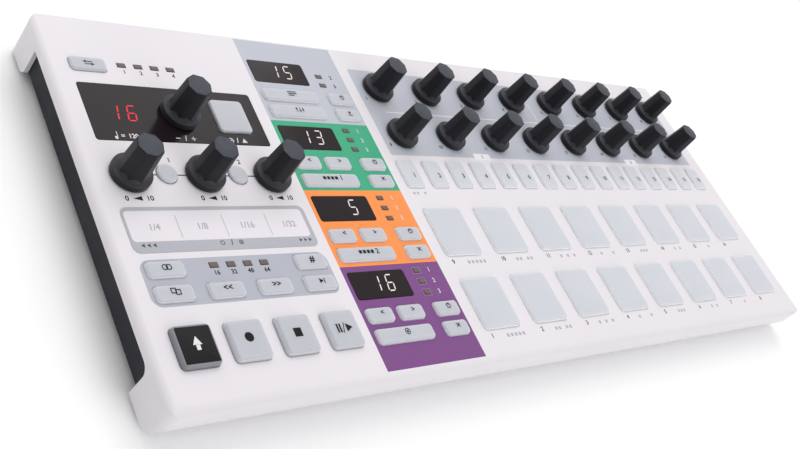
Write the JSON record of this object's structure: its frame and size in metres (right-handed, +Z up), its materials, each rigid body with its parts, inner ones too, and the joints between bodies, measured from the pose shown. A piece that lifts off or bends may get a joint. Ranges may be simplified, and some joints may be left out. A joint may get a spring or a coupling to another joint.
{
  "type": "step sequencer",
  "caption": "Flat desktop step sequencer: white shell on a dark base, turning knobs, sprung keys and pads, dark display windows, a touch strip and rear sockets.",
  "frame": {"origin": "on the table under the middle of the case", "axes": "+X to the player's right, +Y to the rear sockets, +Z up"},
  "size_m": [0.412, 0.162, 0.0361],
  "materials": {
    "shell_white": "fine satin moulded",
    "base_dark": "dark powder coat",
    "board_green": "solder mask",
    "window_smoke": "smoked gloss",
    "digit_red": "red epoxy",
    "light_grey": "unlit light pipe",
    "strip_white": "satin film",
    "encoder_metal": "plated",
    "socket_black": "moulded",
    "screw_steel": "black oxide",
    "foot_rubber": "soft",
    "knob_black": "soft-touch coat",
    "pad_grey": "translucent silicone",
    "key_grey": "translucent silicone",
    "shift_grey": "grey silicone, black cap"
  },
  "bodies": {
    "chassis": {"top_shell": "shell_white", "base_pan": "base_dark", "main_board": "board_green", "display_windows": "window_smoke", "digit_displays": "digit_red", "indicator_lights": "light_grey", "touch_strip": "strip_white", "encoders": "encoder_metal", "rear_sockets": "socket_black", "screws": "screw_steel", "feet": "foot_rubber"},
    "rate_knob": {"rate_knob": "knob_black"},
    "swing_knob": {"swing_knob": "knob_black"},
    "randomness_knob": {"randomness_knob": "knob_black"},
    "probability_knob": {"probability_knob": "knob_black"},
    "knob_1": {"knob_1": "knob_black"},
    "knob_2": {"knob_2": "knob_black"},
    "knob_3": {"knob_3": "knob_black"},
    "knob_4": {"knob_4": "knob_black"},
    "knob_5": {"knob_5": "knob_black"},
    "knob_6": {"knob_6": "knob_black"},
    "knob_7": {"knob_7": "knob_black"},
    "knob_8": {"knob_8": "knob_black"},
    "knob_9": {"knob_9": "knob_black"},
    "knob_10": {"knob_10": "knob_black"},
    "knob_11": {"knob_11": "knob_black"},
    "knob_12": {"knob_12": "knob_black"},
    "knob_13": {"knob_13": "knob_black"},
    "knob_14": {"knob_14": "knob_black"},
    "knob_15": {"knob_15": "knob_black"},
    "knob_16": {"knob_16": "knob_black"},
    "pad_1": {"pad_1": "pad_grey"},
    "pad_2": {"pad_2": "pad_grey"},
    "pad_3": {"pad_3": "pad_grey"},
    "pad_4": {"pad_4": "pad_grey"},
    "pad_5": {"pad_5": "pad_grey"},
    "pad_6": {"pad_6": "pad_grey"},
    "pad_7": {"pad_7": "pad_grey"},
    "pad_8": {"pad_8": "pad_grey"},
    "pad_9": {"pad_9": "pad_grey"},
    "pad_10": {"pad_10": "pad_grey"},
    "pad_11": {"pad_11": "pad_grey"},
    "pad_12": {"pad_12": "pad_grey"},
    "pad_13": {"pad_13": "pad_grey"},
    "pad_14": {"pad_14": "pad_grey"},
    "pad_15": {"pad_15": "pad_grey"},
    "pad_16": {"pad_16": "pad_grey"},
    "shift_button": {"shift_button": "shift_grey"},
    "record_button": {"record_button": "key_grey"},
    "stop_button": {"stop_button": "key_grey"},
    "play_button": {"play_button": "key_grey"},
    "tap_button": {"tap_button": "key_grey"},
    "sync_button": {"sync_button": "key_grey"},
    "track_buttons": {"track_buttons": "key_grey"},
    "link_keypad": {"link_keypad": "key_grey"},
    "step_keypad": {"step_keypad": "key_grey"},
    "project_keypad": {"project_keypad": "key_grey"},
    "sequencer_1_keypad": {"sequencer_1_keypad": "key_grey"},
    "sequencer_2_keypad": {"sequencer_2_keypad": "key_grey"},
    "drum_keypad": {"drum_keypad": "key_grey"}
  },
  "joints": [
    {"name": "rate_knob_turn", "type": "hinge", "parent": "chassis", "child": "rate_knob", "pos_m": [-0.1583, 0.036, 0.019], "axis": [0, 0, 1], "continuous": true},
    {"name": "swing_knob_turn", "type": "hinge", "parent": "chassis", "child": "swing_knob", "pos_m": [-0.1892, 0.0074, 0.019], "axis": [0, 0, 1], "continuous": true},
    {"name": "randomness_knob_turn", "type": "hinge", "parent": "chassis", "child": "randomness_knob", "pos_m": [-0.1586, 0.0074, 0.019], "axis": [0, 0, 1], "continuous": true},
    {"name": "probability_knob_turn", "type": "hinge", "parent": "chassis", "child": "probability_knob", "pos_m": [-0.128, 0.0074, 0.019], "axis": [0, 0, 1], "continuous": true},
    {"name": "knob_1_turn", "type": "hinge", "parent": "chassis", "child": "knob_1", "pos_m": [-0.0433, 0.058, 0.019], "axis": [0, 0, 1], "continuous": true},
    {"name": "knob_2_turn", "type": "hinge", "parent": "chassis", "child": "knob_2", "pos_m": [-0.0113, 0.058, 0.019], "axis": [0, 0, 1], "continuous": true},
    {"name": "knob_3_turn", "type": "hinge", "parent": "chassis", "child": "knob_3", "pos_m": [0.0207, 0.058, 0.019], "axis": [0, 0, 1], "continuous": true},
    {"name": "knob_4_turn", "type": "hinge", "parent": "chassis", "child": "knob_4", "pos_m": [0.0527, 0.058, 0.019], "axis": [0, 0, 1], "continuous": true},
    {"name": "knob_5_turn", "type": "hinge", "parent": "chassis", "child": "knob_5", "pos_m": [0.0847, 0.058, 0.019], "axis": [0, 0, 1], "continuous": true},
    {"name": "knob_6_turn", "type": "hinge", "parent": "chassis", "child": "knob_6", "pos_m": [0.1167, 0.058, 0.019], "axis": [0, 0, 1], "continuous": true},
    {"name": "knob_7_turn", "type": "hinge", "parent": "chassis", "child": "knob_7", "pos_m": [0.1487, 0.058, 0.019], "axis": [0, 0, 1], "continuous": true},
    {"name": "knob_8_turn", "type": "hinge", "parent": "chassis", "child": "knob_8", "pos_m": [0.1807, 0.058, 0.019], "axis": [0, 0, 1], "continuous": true},
    {"name": "knob_9_turn", "type": "hinge", "parent": "chassis", "child": "knob_9", "pos_m": [-0.0433, 0.0316, 0.019], "axis": [0, 0, 1], "continuous": true},
    {"name": "knob_10_turn", "type": "hinge", "parent": "chassis", "child": "knob_10", "pos_m": [-0.0113, 0.0316, 0.019], "axis": [0, 0, 1], "continuous": true},
    {"name": "knob_11_turn", "type": "hinge", "parent": "chassis", "child": "knob_11", "pos_m": [0.0207, 0.0316, 0.019], "axis": [0, 0, 1], "continuous": true},
    {"name": "knob_12_turn", "type": "hinge", "parent": "chassis", "child": "knob_12", "pos_m": [0.0527, 0.0316, 0.019], "axis": [0, 0, 1], "continuous": true},
    {"name": "knob_13_turn", "type": "hinge", "parent": "chassis", "child": "knob_13", "pos_m": [0.0847, 0.0316, 0.019], "axis": [0, 0, 1], "continuous": true},
    {"name": "knob_14_turn", "type": "hinge", "parent": "chassis", "child": "knob_14", "pos_m": [0.1167, 0.0316, 0.019], "axis": [0, 0, 1], "continuous": true},
    {"name": "knob_15_turn", "type": "hinge", "parent": "chassis", "child": "knob_15", "pos_m": [0.1487, 0.0316, 0.019], "axis": [0, 0, 1], "continuous": true},
    {"name": "knob_16_turn", "type": "hinge", "parent": "chassis", "child": "knob_16", "pos_m": [0.1807, 0.0316, 0.019], "axis": [0, 0, 1], "continuous": true},
    {"name": "pad_1_press", "type": "slide", "parent": "chassis", "child": "pad_1", "axis": [0, 0, -1], "range_m": [0, 0.0008], "stiffness_N_per_m": 800, "springref_m": -0.0004},
    {"name": "pad_2_press", "type": "slide", "parent": "chassis", "child": "pad_2", "axis": [0, 0, -1], "range_m": [0, 0.0008], "stiffness_N_per_m": 800, "springref_m": -0.0004},
    {"name": "pad_3_press", "type": "slide", "parent": "chassis", "child": "pad_3", "axis": [0, 0, -1], "range_m": [0, 0.0008], "stiffness_N_per_m": 800, "springref_m": -0.0004},
    {"name": "pad_4_press", "type": "slide", "parent": "chassis", "child": "pad_4", "axis": [0, 0, -1], "range_m": [0, 0.0008], "stiffness_N_per_m": 800, "springref_m": -0.0004},
    {"name": "pad_5_press", "type": "slide", "parent": "chassis", "child": "pad_5", "axis": [0, 0, -1], "range_m": [0, 0.0008], "stiffness_N_per_m": 800, "springref_m": -0.0004},
    {"name": "pad_6_press", "type": "slide", "parent": "chassis", "child": "pad_6", "axis": [0, 0, -1], "range_m": [0, 0.0008], "stiffness_N_per_m": 800, "springref_m": -0.0004},
    {"name": "pad_7_press", "type": "slide", "parent": "chassis", "child": "pad_7", "axis": [0, 0, -1], "range_m": [0, 0.0008], "stiffness_N_per_m": 800, "springref_m": -0.0004},
    {"name": "pad_8_press", "type": "slide", "parent": "chassis", "child": "pad_8", "axis": [0, 0, -1], "range_m": [0, 0.0008], "stiffness_N_per_m": 800, "springref_m": -0.0004},
    {"name": "pad_9_press", "type": "slide", "parent": "chassis", "child": "pad_9", "axis": [0, 0, -1], "range_m": [0, 0.0008], "stiffness_N_per_m": 800, "springref_m": -0.0004},
    {"name": "pad_10_press", "type": "slide", "parent": "chassis", "child": "pad_10", "axis": [0, 0, -1], "range_m": [0, 0.0008], "stiffness_N_per_m": 800, "springref_m": -0.0004},
    {"name": "pad_11_press", "type": "slide", "parent": "chassis", "child": "pad_11", "axis": [0, 0, -1], "range_m": [0, 0.0008], "stiffness_N_per_m": 800, "springref_m": -0.0004},
    {"name": "pad_12_press", "type": "slide", "parent": "chassis", "child": "pad_12", "axis": [0, 0, -1], "range_m": [0, 0.0008], "stiffness_N_per_m": 800, "springref_m": -0.0004},
    {"name": "pad_13_press", "type": "slide", "parent": "chassis", "child": "pad_13", "axis": [0, 0, -1], "range_m": [0, 0.0008], "stiffness_N_per_m": 800, "springref_m": -0.0004},
    {"name": "pad_14_press", "type": "slide", "parent": "chassis", "child": "pad_14", "axis": [0, 0, -1], "range_m": [0, 0.0008], "stiffness_N_per_m": 800, "springref_m": -0.0004},
    {"name": "pad_15_press", "type": "slide", "parent": "chassis", "child": "pad_15", "axis": [0, 0, -1], "range_m": [0, 0.0008], "stiffness_N_per_m": 800, "springref_m": -0.0004},
    {"name": "pad_16_press", "type": "slide", "parent": "chassis", "child": "pad_16", "axis": [0, 0, -1], "range_m": [0, 0.0008], "stiffness_N_per_m": 800, "springref_m": -0.0004},
    {"name": "shift_button_press", "type": "slide", "parent": "chassis", "child": "shift_button", "axis": [0, 0, -1], "range_m": [0, 0.001], "stiffness_N_per_m": 500, "springref_m": -0.0005},
    {"name": "record_button_press", "type": "slide", "parent": "chassis", "child": "record_button", "axis": [0, 0, -1], "range_m": [0, 0.001], "stiffness_N_per_m": 500, "springref_m": -0.0005},
    {"name": "stop_button_press", "type": "slide", "parent": "chassis", "child": "stop_button", "axis": [0, 0, -1], "range_m": [0, 0.001], "stiffness_N_per_m": 500, "springref_m": -0.0005},
    {"name": "play_button_press", "type": "slide", "parent": "chassis", "child": "play_button", "axis": [0, 0, -1], "range_m": [0, 0.001], "stiffness_N_per_m": 500, "springref_m": -0.0005},
    {"name": "tap_button_press", "type": "slide", "parent": "chassis", "child": "tap_button", "axis": [0, 0, -1], "range_m": [0, 0.001], "stiffness_N_per_m": 500, "springref_m": -0.0005},
    {"name": "sync_button_press", "type": "slide", "parent": "chassis", "child": "sync_button", "axis": [0, 0, -1], "range_m": [0, 0.001], "stiffness_N_per_m": 500, "springref_m": -0.0005},
    {"name": "track_buttons_press", "type": "slide", "parent": "chassis", "child": "track_buttons", "axis": [0, 0, -1], "range_m": [0, 0.001], "stiffness_N_per_m": 1000, "springref_m": -0.0008},
    {"name": "link_keypad_press", "type": "slide", "parent": "chassis", "child": "link_keypad", "axis": [0, 0, -1], "range_m": [0, 0.001], "stiffness_N_per_m": 1000, "springref_m": -0.0008},
    {"name": "step_keypad_press", "type": "slide", "parent": "chassis", "child": "step_keypad", "axis": [0, 0, -1], "range_m": [0, 0.001], "stiffness_N_per_m": 1000, "springref_m": -0.0008},
    {"name": "project_keypad_press", "type": "slide", "parent": "chassis", "child": "project_keypad", "axis": [0, 0, -1], "range_m": [0, 0.001], "stiffness_N_per_m": 1000, "springref_m": -0.0008},
    {"name": "sequencer_1_keypad_press", "type": "slide", "parent": "chassis", "child": "sequencer_1_keypad", "axis": [0, 0, -1], "range_m": [0, 0.001], "stiffness_N_per_m": 1000, "springref_m": -0.0008},
    {"name": "sequencer_2_keypad_press", "type": "slide", "parent": "chassis", "child": "sequencer_2_keypad", "axis": [0, 0, -1], "range_m": [0, 0.001], "stiffness_N_per_m": 1000, "springref_m": -0.0008},
    {"name": "drum_keypad_press", "type": "slide", "parent": "chassis", "child": "drum_keypad", "axis": [0, 0, -1], "range_m": [0, 0.001], "stiffness_N_per_m": 1000, "springref_m": -0.0008}
  ]
}
